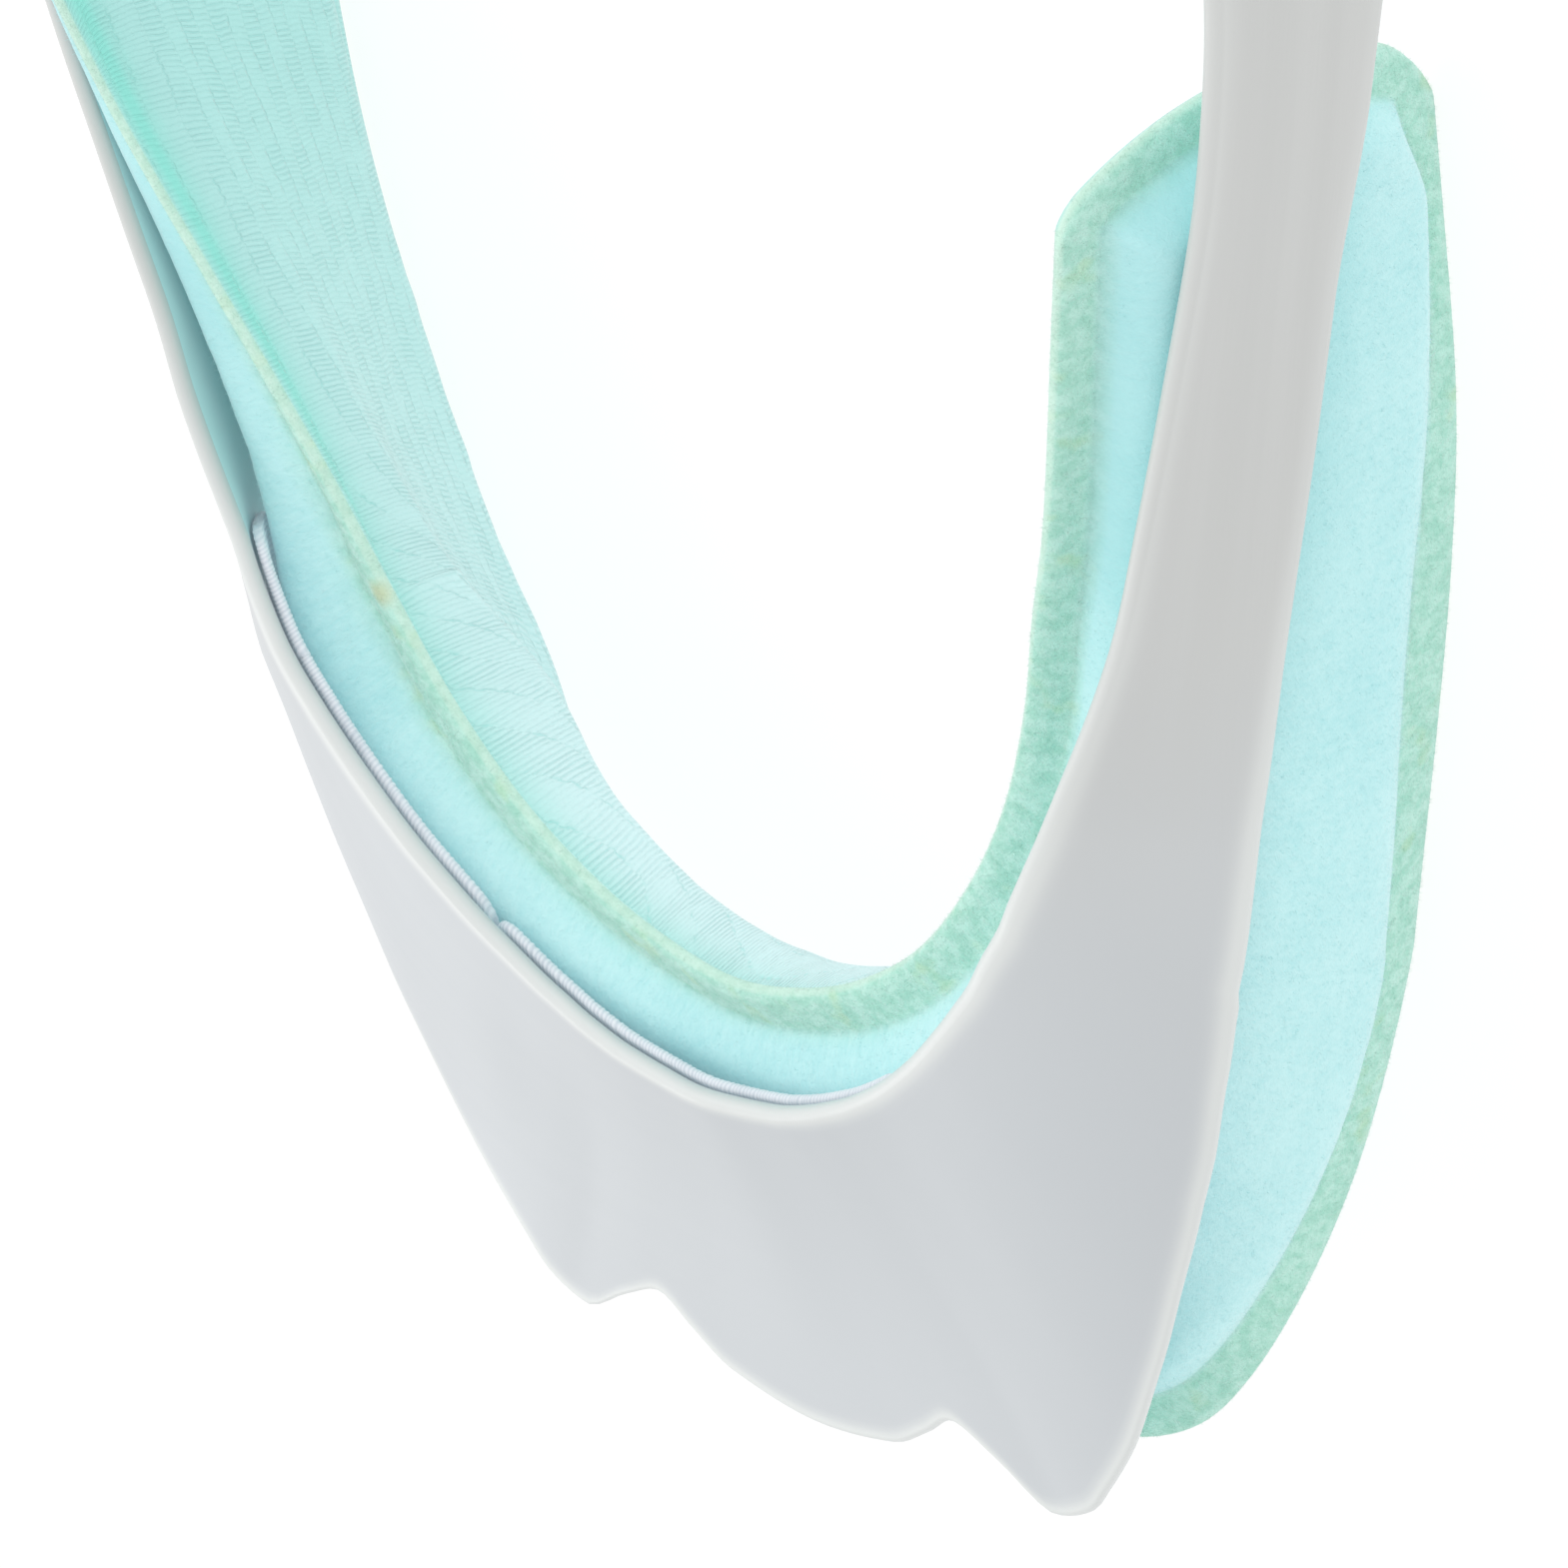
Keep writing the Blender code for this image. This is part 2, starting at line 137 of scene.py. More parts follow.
def form(around, across):
    """The middle of the pad's pressed border: across runs from 0 at the foot to 1 at the top."""
    sag = section(around)[..., 6] * 4 * across * (1 - across)
    return ruled(around, across) - sag[..., None] * facing(ruled, around, np.full_like(across, 0.5))


def length_along(counts, across=0.6):
    """Distance in metres along the form surface from the first of these counts to each."""
    fine = np.linspace(counts[0], counts[-1], 900)
    points = form(fine, np.full_like(fine, across))
    lengths = np.concatenate(([0.0], np.cumsum(np.linalg.norm(np.diff(points, axis=0), axis=1))))
    return np.interp(counts, fine, lengths)


def stations(start, end, pitch):
    """Counts from start to end, evenly spaced in length."""
    fine = np.linspace(start, end, 900)
    lengths = length_along(fine)
    steps = max(2, round(lengths[-1] / pitch))
    return np.interp(np.linspace(0, lengths[-1], steps + 1), lengths, fine)


def smoothstep(share):
    share = np.clip(share, 0.0, 1.0)
    return share * share * (3 - 2 * share)


def ripple(points, wavelength, seed):
    """A smooth, seeded wave field over points, about -1 to 1, made of a dozen crossed waves."""
    rng = np.random.default_rng(seed)
    total = np.zeros(points.shape[:-1])
    for _ in range(12):
        direction = rng.normal(size=3)
        direction /= np.linalg.norm(direction)
        stretch = rng.uniform(0.7, 1.6)
        crests = 2 * math.pi * (points @ direction) / (wavelength * stretch)
        total += np.sin(crests + rng.uniform(0, 2 * math.pi))
    return total / 4


def ring_mesh(name, points, uv, masks, caps, materials, material_of=None):
    """A tube of closed rings. caps gives pairs of ring places that face each other, to close both ends."""
    rows, count = points.shape[:2]
    faces = []
    slots = []
    for i in range(rows - 1):
        for k in range(count):
            after = (k + 1) % count
            faces.append((i * count + k, i * count + after, (i + 1) * count + after, (i + 1) * count + k))
            slots.append(0 if material_of is None else material_of[k])
    for row, flip in ((0, True), (rows - 1, False)):
        for (a, b), (c, d) in zip(caps[:-1], caps[1:]):
            face = (row * count + a, row * count + c, row * count + d, row * count + b)
            faces.append(face[::-1] if flip else face)
            slots.append(0)
    faces = [tuple(dict.fromkeys(face)) for face in faces]
    mesh = bpy.data.meshes.new(name)
    mesh.from_pydata(points.reshape(-1, 3).tolist(), [], faces)
    sheet = bmesh.new()
    sheet.from_mesh(mesh)
    bmesh.ops.recalc_face_normals(sheet, faces=sheet.faces)
    sheet.to_mesh(mesh)
    sheet.free()
    mesh.shade_smooth()
    for made in materials:
        mesh.materials.append(made)
    mesh.polygons.foreach_set("material_index", slots)
    layer = mesh.uv_layers.new(name="cloth")
    corner_vertex = np.zeros(len(mesh.loops), np.int32)
    mesh.loops.foreach_get("vertex_index", corner_vertex)
    layer.data.foreach_set("uv", uv.reshape(-1, 2)[corner_vertex].astype(np.float32).ravel())
    for label, values in masks.items():
        attribute = mesh.attributes.new(label, "FLOAT", "POINT")
        attribute.data.foreach_set("value", values.astype(np.float32).ravel())
    made = bpy.data.objects.new(name, mesh)
    bpy.context.scene.collection.objects.link(made)
    return made


def both_sides(half, signs):
    """Rows of the right half, mirrored across the middle and put before themselves."""
    return np.concatenate((half[:0:-1] * signs, half))


class Wiring:
    """Short names for adding and joining the nodes of one tree."""

    def __init__(self, tree):
        self.tree = tree

    def add(self, kind, settings=None, **inputs):
        node = self.tree.nodes.new("ShaderNode" + kind)
        for label, value in (settings or {}).items():
            setattr(node, label, value)
        for label, value in inputs.items():
            self.put(node.inputs[label.replace("_", " ")], value)
        return node

    def put(self, socket, value):
        if isinstance(value, bpy.types.NodeSocket):
            self.tree.links.new(value, socket)
        else:
            socket.default_value = value

    def math(self, operation, a, b=0.5, c=0.5):
        node = self.tree.nodes.new("ShaderNodeMath")
        node.operation = operation
        for socket, value in zip(node.inputs, (a, b, c)):
            self.put(socket, value)
        return node.outputs[0]

    def blend(self, share, a, b):
        node = self.add("Mix", {"data_type": "RGBA"})
        self.put(node.inputs[0], share)
        self.put(node.inputs[6], a)
        self.put(node.inputs[7], b)
        return node.outputs[2]

    def spread(self, value, low, high, to_low=0.0, to_high=1.0):
        node = self.add("MapRange", {"interpolation_type": "SMOOTHSTEP"})
        for socket, given in zip(node.inputs, (value, low, high, to_low, to_high)):
            self.put(socket, given)
        return node.outputs[0]

    def noise(self, place, scale, detail=2.0, roughness=0.5):
        node = self.add("TexNoise", Vector=place, Scale=scale, Detail=detail, Roughness=roughness)
        return node.outputs["Fac"]


def new_material(name, base, roughness):
    """A material with its Principled BSDF, and the wiring to dress it."""
    made = bpy.data.materials.new(name)
    made.use_nodes = True
    made.diffuse_color = (*base, 1.0)
    shader = made.node_tree.nodes["Principled BSDF"]
    shader.inputs["Base Color"].default_value = (*base, 1.0)
    shader.inputs["Roughness"].default_value = roughness
    return made, shader, Wiring(made.node_tree)


def new_group(name, inputs, outputs):
    """A node group with named float, vector and colour sockets."""
    group = bpy.data.node_groups.new(name, "ShaderNodeTree")
    for label, kind, value in inputs:
        socket = group.interface.new_socket(label, in_out="INPUT", socket_type="NodeSocket" + kind)
        if value is not None:
            socket.default_value = value
    for label, kind in outputs:
        group.interface.new_socket(label, in_out="OUTPUT", socket_type="NodeSocket" + kind)
    wiring = Wiring(group)
    entry = group.nodes.new("NodeGroupInput").outputs
    leave = group.nodes.new("NodeGroupOutput").inputs
    return group, wiring, entry, leave


def cloth_fuzz_group():
    """Loose fibres of a brushed or felted cloth: fine crossed threads, in small clumps."""
    group, w, entry, leave = new_group(
        "cloth_fuzz",
        (("Place", "Vector", None), ("Fibres per metre", "Float", 2600.0), ("Lean", "Float", 0.35)),
        (("Height", "Float"), ("Clumps", "Float")),
    )
    place = entry["Place"]
    lean = w.add("Mapping", {"vector_type": "TEXTURE"}, Vector=place, Scale=(2.4, 1.0, 1.0))
    w.put(lean.inputs["Rotation"], (0.0, 0.0, 0.6))
    other = w.add("Mapping", {"vector_type": "TEXTURE"}, Vector=place, Scale=(2.4, 1.0, 1.0))
    w.put(other.inputs["Rotation"], (0.0, 0.0, -0.9))
    first = w.noise(lean.outputs[0], entry["Fibres per metre"], 3.0, 0.65)
    second = w.noise(other.outputs[0], entry["Fibres per metre"], 3.0, 0.65)
    crossed = w.math("MAXIMUM", first, second)
    clumps = w.noise(place, w.math("MULTIPLY", entry["Fibres per metre"], 0.22), 2.0, 0.5)
    w.put(leave["Height"], w.math("MULTIPLY_ADD", clumps, entry["Lean"], crossed))
    w.put(leave["Clumps"], clumps)
    return group


cloth_fuzz = cloth_fuzz_group()

LOOP_CLOTH = (0.57, 0.87, 0.88)
LOOP_CLOTH_DEEP = (0.43, 0.78, 0.80)
# painted shade: the deeper cloth colour beside the shell's arms
ARM_SHADE_CLOTH = (0.34, 0.69, 0.71)
PRESSED_CLOTH = (0.53, 0.835, 0.73)
PRESSED_CLOTH_DEEP = (0.40, 0.735, 0.61)
CUT_EDGE = (0.68, 0.85, 0.73)
PAINTED_GLOW = 0.10  # painted light: the cloths and the hook tape glow a little, which lifts them where they lie in shade, in place of light that wanders through the foam and comes out of the cloth again
YELLOWED = (0.52, 0.74, 0.45)
STAIN = (0.60, 0.62, 0.36)
STAIN_PLACE = (-0.0437, -0.0155, 0.0352)


def loop_cloth_material():
    made, shader, w = new_material("loop_cloth", LOOP_CLOTH, 0.95)
    place = w.add("UVMap", {"uv_map": "cloth"}).outputs[0]
    body = w.add("TexCoord").outputs["Object"]
    pressed = w.add("Attribute", {"attribute_name": "pressed"}).outputs["Fac"]
    cut = w.add("Attribute", {"attribute_name": "cut_edge"}).outputs["Fac"]
    fuzz = w.add("Group", {"node_tree": cloth_fuzz}, Place=place)
    fuzz.inputs["Fibres per metre"].default_value = 2400.0
    fuzz.inputs["Lean"].default_value = 0.5
    matted = w.add("Group", {"node_tree": cloth_fuzz}, Place=body)
    matted.inputs["Fibres per metre"].default_value = 1500.0
    matted.inputs["Lean"].default_value = 0.9
    courses = w.add(
        "TexWave",
        {"wave_type": "BANDS", "bands_direction": "X", "wave_profile": "SIN"},
        Vector=place,
        Scale=290.0,
        Distortion=5.0,
        Detail=2.0,
        Detail_Scale=3.0,
    ).outputs["Fac"]
    patches = w.noise(body, 75.0, 3.0, 0.55)
    brushed = w.math("MULTIPLY_ADD", courses, 0.07, w.math("MULTIPLY", fuzz.outputs["Height"], 0.95))
    tint = w.spread(w.math("MULTIPLY_ADD", patches, 0.7, brushed), 0.55, 1.45)
    soft = w.blend(tint, (*LOOP_CLOTH_DEEP, 1.0), (*LOOP_CLOTH, 1.0))
    # painted shade: the cloth is painted deeper where the shell's arms stand beside it
    arm_shade = w.add("Attribute", {"attribute_name": "arm_shade"}).outputs["Fac"]
    soft = w.blend(w.math("MULTIPLY", arm_shade, 0.5), soft, (*ARM_SHADE_CLOTH, 1.0))
    blotches = w.spread(w.noise(body, 620.0, 3.0, 0.6), 0.34, 0.66)
    felted = w.blend(blotches, (*PRESSED_CLOTH_DEEP, 1.0), (*PRESSED_CLOTH, 1.0))
    yellowed = w.spread(w.noise(body, 210.0, 2.0, 0.5), 0.60, 0.74, 0.0, 0.42)
    felted = w.blend(yellowed, felted, (*YELLOWED, 1.0))
    colour = w.blend(pressed, soft, felted)
    colour = w.blend(w.math("MULTIPLY", cut, 0.5), colour, (*CUT_EDGE, 1.0))
    spot = w.add("VectorMath", {"operation": "DISTANCE"})
    w.put(spot.inputs[0], body)
    spot.inputs[1].default_value = STAIN_PLACE
    stained = w.spread(spot.outputs["Value"], 0.0003, 0.0024, 0.7, 0.0)
    colour = w.blend(stained, colour, (*STAIN, 1.0))
    w.put(shader.inputs["Base Color"], colour)
    nap = w.add("Bump", Height=brushed, Strength=0.55, Distance=0.00035)
    felt = w.add("Bump", Height=matted.outputs["Height"], Distance=0.0005)
    w.put(felt.inputs["Strength"], w.math("MULTIPLY", pressed, 0.8))
    w.put(felt.inputs["Normal"], nap.outputs[0])
    w.put(shader.inputs["Normal"], felt.outputs[0])
    # painted light: the brushed cloth glows a little with its own colour, to lift it where it lies in shade
    w.put(shader.inputs["Emission Color"], colour)
    shader.inputs["Emission Strength"].default_value = PAINTED_GLOW
    shader.inputs["Sheen Weight"].default_value = 0.5
    shader.inputs["Sheen Roughness"].default_value = 0.4
    shader.inputs["Specular IOR Level"].default_value = 0.15
    return made


KNIT_LIT_FRONT = (0.66, 0.855, 0.865)  # painted light: paler round the front, where more light falls
KNIT_SHADED_ARM = (0.42, 0.74, 0.71)
# painted shade: the deeper colour in the knit's grooves
KNIT_GROOVE_SHADE = (0.30, 0.68, 0.65)
# painted shade: the deeper colour along the crease where the knit's border meets the cushion
KNIT_CREASE_SHADE = (0.25, 0.74, 0.64)
RIB_PITCH = 0.00070
WALE_WIDTH = 0.0024


def knit_material():
    """Fine ribs across the arm, in wales that run along it and are parted by wavy sunken lines."""
    made, shader, w = new_material("ribbed_knit", KNIT_LIT_FRONT, 0.85)
    place = w.add("UVMap", {"uv_map": "cloth"}).outputs[0]
    body = w.add("TexCoord").outputs["Object"]
    crease_shade = w.add("Attribute", {"attribute_name": "crease_shade"}).outputs["Fac"]
    cut = w.add("Attribute", {"attribute_name": "cut_edge"}).outputs["Fac"]
    split = w.add("SeparateXYZ")
    w.put(split.inputs[0], place)
    across = split.outputs["Y"]
    along = w.math("ABSOLUTE", split.outputs["X"])
    # painted light: the knit is painted paler round the front of the pad and deeper along the arms, for the
    # light that falls there
    pale = w.spread(along, 0.02, 0.17, 1.0, 0.0)
    slope = w.spread(along, 0.0, 0.15, 0.4, -0.35)
    skew = w.math("MULTIPLY", slope, w.math("SUBTRACT", across, 0.035))
    along = w.math("ADD", along, skew)
    wander = w.math("MULTIPLY_ADD", w.noise(place, 120.0, 3.0, 0.6), 0.0011, across)
    wale = w.math("DIVIDE", wander, WALE_WIDTH)
    index = w.math("FLOOR", wale)
    inside = w.math("SUBTRACT", wale, index)
    shift = w.math("FRACT", w.math("MULTIPLY", index, 0.618))
    slant = w.math("MULTIPLY", inside, w.math("MULTIPLY_ADD", shift, 0.8, -0.4))
    jitter = w.math("MULTIPLY", w.noise(place, 420.0, 2.0, 0.5), 0.9)
    unevenness = w.math("ADD", w.math("ADD", shift, slant), jitter)
    count = w.math("ADD", w.math("DIVIDE", along, RIB_PITCH), unevenness)
    wave = w.math("MULTIPLY_ADD", w.math("SINE", w.math("MULTIPLY", count, 2 * math.pi)), 0.5, 0.5)
    groove = w.math("POWER", wave, 2.6)
    parity = w.math("PINGPONG", index, 1.0)
    stretch = w.spread(w.noise(place, 210.0, 3.0, 0.6), 0.34, 0.60, 0.40, 0.76)
    strength = w.math("MULTIPLY", stretch, w.math("MULTIPLY_ADD", parity, 0.25, 0.75))
    groove = w.math("MULTIPLY", groove, strength)
    edge = w.math("MINIMUM", inside, w.math("SUBTRACT", 1.0, inside))
    dashes = w.spread(w.math("SINE", w.math("MULTIPLY", count, math.pi)), -0.7, 0.1, 0.25, 1.0)
    stitches = w.spread(w.noise(place, 330.0, 2.0, 0.5), 0.40, 0.58, 0.2, 0.9)
    broken = w.math("MULTIPLY", stitches, dashes)
    line = w.math("MULTIPLY", w.spread(edge, 0.0, 0.10, 1.0, 0.0), broken)
    grain = w.noise(place, 3600.0, 2.0, 0.6)
    height = w.math("MULTIPLY_ADD", grain, 0.5, w.math("SUBTRACT", 0.6, w.math("MAXIMUM", groove, line)))
    patches = w.noise(body, 55.0, 2.0, 0.5)
    # painted shade: the ribs' grooves and the sunken lines between wales are painted deeper, mixed with
    # random patches of tone
    shade = w.spread(w.math("MULTIPLY_ADD", patches, 0.35, height), -0.7, 0.9)
    plain = w.blend(pale, (*KNIT_SHADED_ARM, 1.0), (*KNIT_LIT_FRONT, 1.0))
    colour = w.blend(shade, (*KNIT_GROOVE_SHADE, 1.0), plain)
    # painted shade: the knit is painted deeper along the crease beside its pressed border
    colour = w.blend(w.math("MULTIPLY", crease_shade, 0.85), colour, (*KNIT_CREASE_SHADE, 1.0))
    colour = w.blend(w.math("MULTIPLY", cut, 0.8), colour, (*CUT_EDGE, 1.0))
    w.put(shader.inputs["Base Color"], colour)
    relief = w.add("Bump", Height=height, Strength=0.7, Distance=0.00022)
    w.put(shader.inputs["Normal"], relief.outputs[0])
    # painted light: the knit glows a little with its own colour, to lift it where it lies in shade
    w.put(shader.inputs["Emission Color"], colour)
    shader.inputs["Emission Strength"].default_value = PAINTED_GLOW
    shader.inputs["Sheen Weight"].default_value = 0.5
    shader.inputs["Sheen Roughness"].default_value = 0.35
    shader.inputs["Specular IOR Level"].default_value = 0.2
    return made


def pad_end(across):
    """Where the pad ends at this height, counted in sections: bulging, with a rounder corner at the foot."""
    end_length = length_along(np.array([PAD_END - 1.0, PAD_END]))[-1]
    row = section(float(PAD_END))
    from_foot = across * np.linalg.norm(row[0:3] - row[3:6])
    cut_back = END_BULGE * np.abs(2 * across - 1) ** 2.2
    from_top = (1 - across) * np.linalg.norm(row[0:3] - row[3:6])
    for distance, corner in ((from_foot, FOOT_CORNER), (from_top, TOP_CORNER)):
        inside = np.clip(corner - distance, 0.0, corner)
        cut_back += corner - np.sqrt(corner**2 - inside**2)
    return PAD_END - cut_back / end_length, end_length


def pad_half(top_border_at_end):
    """Rings of one half of the cushion: the shell side from foot to top, then the neck side back down."""
    last = PAD_END - END_LENGTH / length_along(np.array([PAD_END - 1.0, PAD_END]))[-1]
    end_rows = last + (PAD_END - last) * np.linspace(0, 1, 24)[1:] ** 0.85
    rows = np.concatenate((stations(0.0, last, RING_PITCH), end_rows))
    rim = np.array(EDGE_STEPS) / 1000
    inner_share = np.linspace(0, 1, 28)[1:-1]
    width = np.linalg.norm(section(rows)[:, 0:3] - section(rows)[:, 3:6], axis=1)[:, None]
    near = rim[None, :] / width
    middle = near[:, -1:] + (1 - 2 * near[:, -1:]) * inner_share[None, :]
    across = np.concatenate((near, middle, 1 - near[:, ::-1]), axis=1)
    around = np.repeat(rows[:, None], across.shape[1], axis=1)
    end, end_length = pad_end(across)
    start = PAD_END - 1.0
    place = np.where(around > start, start + (around - start) * (end - start), around)
    to_edge = np.minimum(across, 1 - across) * width
    to_end = (end - place) * end_length
    inset = np.minimum(to_edge, to_end)
    top_share = smoothstep((place - 3) / 5) * smoothstep((across - 0.5) / 0.2)
    foot_share = smoothstep((place - 6) / 3) * smoothstep((0.5 - across) / 0.2)
    foot_share *= smoothstep((to_end - 0.005) / 0.010)
    narrowing = (top_border_at_end / BORDER_WIDTH - 1) * top_share
    narrowing = narrowing + (ARM_FOOT_BORDER / BORDER_WIDTH - 1) * foot_share
    border = BORDER_WIDTH * (1 + narrowing)
    full = 1 - (1 - np.clip((inset - NECK_BORDER) / SHOULDER_WIDTH, 0, 1)) ** 2.2
    shoulder = SHOULDER_WIDTH * border / BORDER_WIDTH
    outer_full = 1 - (1 - np.clip((inset - border) / shoulder, 0, 1)) ** 2.2
    rounded = 1 - np.clip(1 - inset / CUT_EDGE_ROUNDING, 0, 1) ** 2
    half_border = BORDER_THICKNESS / 2 * (0.15 + 0.85 * np.sqrt(rounded))
    row = section(place)
    base = form(place, across)
    normal = facing(form, place, across)
    on_floor = smoothstep(1 - row[..., 5] / PAD_HEIGHT / 0.1)
    level = smoothstep(1 - to_edge / BORDER_WIDTH) * on_floor * (across < 0.5)
    normal[..., 2] *= 1 - level
    normal /= np.linalg.norm(normal, axis=-1, keepdims=True)
    shell_side = CUSHION_RISE + (row[..., 7] - CUSHION_RISE) * smoothstep((across - 0.15) / 0.45)
    swell = 1 + 0.04 * ripple(base, 0.032, 5)
    dents = 0.0001 * ripple(base, 0.006, 9)
    pressed_on = 0.0004 * np.exp(-(((place - 5.8) / 0.6) ** 2))
    out_rise = half_border + outer_full * (shell_side + pressed_on - 0.0001 - np.abs(dents))
    in_rise = half_border + full * row[..., 8] * swell + dents * full
    outer = base + normal * out_rise[..., None]
    inner = base - normal * in_rise[..., None]
    points = np.concatenate((outer, inner[:, ::-1]), axis=1)
    points[0, :, 0] = 0.0
    points[..., 2] = np.maximum(points[..., 2], 0.0)
    lengths = length_along(rows)
    along = np.repeat(lengths[:, None], across.shape[1], axis=1)
    uv = np.stack((along, across * width), axis=-1)
    uv = np.concatenate((uv, uv[:, ::-1]), axis=1)
    pressed_outside = 1 - smoothstep((inset - border + 0.0005) / 0.0012)
    pressed_inside = 1 - smoothstep((inset - NECK_BORDER + 0.0005) / 0.0012)
    cut_outside = 1 - smoothstep(inset / 0.0003)
    cut_inside = 1 - smoothstep(inset / 0.0005)
    # painted shade: a mask along the crease where the knit side's pressed border meets the cushion, where
    # shade falls
    crease_shade = np.exp(-(((inset - NECK_BORDER + 0.0012) / 0.0015) ** 2)) * smoothstep((across - 0.4) / 0.2)
    masks = {
        "pressed": np.concatenate((pressed_outside, pressed_inside[:, ::-1]), axis=1),
        "cut_edge": np.concatenate((cut_outside, cut_inside[:, ::-1]), axis=1),
        "crease_shade": np.concatenate((crease_shade, crease_shade[:, ::-1]), axis=1),
    }
    sites = np.stack((place, across), axis=-1)
    return points, uv, masks, np.concatenate((sites, sites[:, ::-1]), axis=1)


loop_cloth = loop_cloth_material()


def build_pad():
    """The whole cushion as one closed tube of rings, from one end of the pad to the other."""
    left, left_uv, left_masks, left_sites = pad_half(LEFT_TOP_BORDER)
    right, right_uv, right_masks, right_sites = pad_half(RIGHT_TOP_BORDER)
    points = np.concatenate((left[:0:-1] * (-1, 1, 1), right))
    uv = np.concatenate((left_uv[:0:-1] * (-1, 1), right_uv))
    masks = {label: np.concatenate((left_masks[label][:0:-1], right_masks[label])) for label in right_masks}
    sites = np.concatenate((left_sites[:0:-1], right_sites))
    columns = points.shape[1] // 2
    caps = [(k, 2 * columns - 1 - k) for k in range(columns)]
    material_of = [1 if columns + 2 <= k < 2 * columns - 3 else 0 for k in range(2 * columns)]
    made = ring_mesh("pad_cushion", points, uv, masks, caps, (loop_cloth, knit_material()), material_of)
    return made, points, uv, masks, sites


pad, pad_points, pad_uv, pad_masks, pad_sites = build_pad()
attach(pad, "root")
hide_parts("pad")

# The shell: one injection-moulded wall of satin plastic, 2 mm thick with rounded edges. The wide front plate
# has a lower edge of three soft lobes, and runs back into two narrow arms that end in round tips past the
# pad.

TAPE_THICKNESS = 0.0013
SHELL_WALL = 0.0020
SHELL_EDGE_ROUNDING = 0.0009
SHELL_LIFT = 0.0050
SHELL_INNER = BORDER_THICKNESS / 2 + CUSHION_RISE + CLEARANCE + TAPE_THICKNESS + CLEARANCE
ARM_TIP = 0.42
SHELL_EDGES = np.array(
    (
        # around, low, high, low lift, high lift
        (0.00, -0.07, 0.90, 0.16, 0.46),
        (0.50, -0.035, 0.897, 0.18, 0.42),
        (0.75, 0.025, 0.895, 0.22, 0.42),
        (1.00, 0.083, 0.892, 0.26, 0.42),
        (1.25, 0.02, 0.893, 0.28, 0.40),
        (1.50, -0.07, 0.895, 0.28, 0.38),
        (1.75, -0.045, 0.896, 0.38, 0.34),
        (2.00, 0.015, 0.896, 0.48, 0.32),
        (2.50, 0.11, 0.896, 0.62, 0.28),
        (3.00, 0.215, 0.90, 0.78, 0.30),
        (3.50, 0.33, 0.905, 0.94, 0.38),
        (4.00, 0.425, 0.91, 0.94, 0.46),
        (4.50, 0.51, 0.925, 0.96, 0.64),
        (5.00, 0.55, 0.928, 1.00, 0.74),
        (5.50, 0.555, 0.93, 0.72, 0.68),
        (6.00, 0.545, 0.93, 0.36, 0.56),
        (7.00, 0.515, 0.92, 0.10, 0.46),
        (8.00, 0.485, 0.91, 0.00, 0.18),
        (9.00, 0.44, 0.86, 0.00, 0.00),
        (10.0, 0.38, 0.81, 0.22, 0.00),
        (11.0, 0.355, 0.79, 0.60, 0.08),
        (12.0, 0.36, 0.79, 0.80, 0.08),
        (13.0, 0.37, 0.78, 0.80, 0.08),
    )
)


def smooth_table(column, around):
    """A tabled value between its rows, on a curve that never overshoots them."""
    places = SHELL_EDGES[:, 0]
    values = SHELL_EDGES[:, column]
    gaps = np.diff(places)
    slopes = np.diff(values) / gaps
    tangents = np.zeros(len(values))
    product = slopes[:-1] * slopes[1:]
    total = slopes[:-1] + slopes[1:]
    tangents[1:-1] = np.where(product > 0, 2 * product / np.where(total == 0, 1, total), 0.0)
    tangents[-1] = slopes[-1]
    k = np.clip(np.searchsorted(places, around, side="right") - 1, 0, len(places) - 2)
    t = (around - places[k]) / gaps[k]
    start = (1 + 2 * t) * (1 - t) ** 2 * values[k] + t * (1 - t) ** 2 * gaps[k] * tangents[k]
    return start + t * t * (3 - 2 * t) * values[k + 1] + t * t * (t - 1) * gaps[k] * tangents[k + 1]


def shell_point(around, across, distance):
    """The point this far outside the form surface, moved out by the shell's lift there."""
    low, high, low_lift, high_lift = (smooth_table(column, around) for column in (1, 2, 3, 4))
    lift = SHELL_LIFT * (low_lift + (high_lift - low_lift) * (across - low) / (high - low))
    return form(around, across) + (distance + lift)[..., None] * facing(form, around, across)


def wall_ring(half_wall, rounding, steps):
    """Across and out offsets of a half-round wall edge, from the outer face round to the inner one."""
    angles = np.linspace(0, math.pi, steps)
    return rounding * (1 - np.sin(angles)), half_wall * np.cos(angles)


PLASTIC = (0.58, 0.61, 0.633)
PLASTIC_WARM = (0.62, 0.63, 0.62)
# painted highlight: the pale colour of the rounded rims and a narrow band beside them
PLASTIC_RIM_HIGHLIGHT = (0.77, 0.795, 0.78)
PLASTIC_STREAK = (0.59, 0.60, 0.59)
PLASTIC_INSIDE = (0.70, 0.93, 0.95)  # painted light: the inner face is painted mint, for the light the pad throws on it
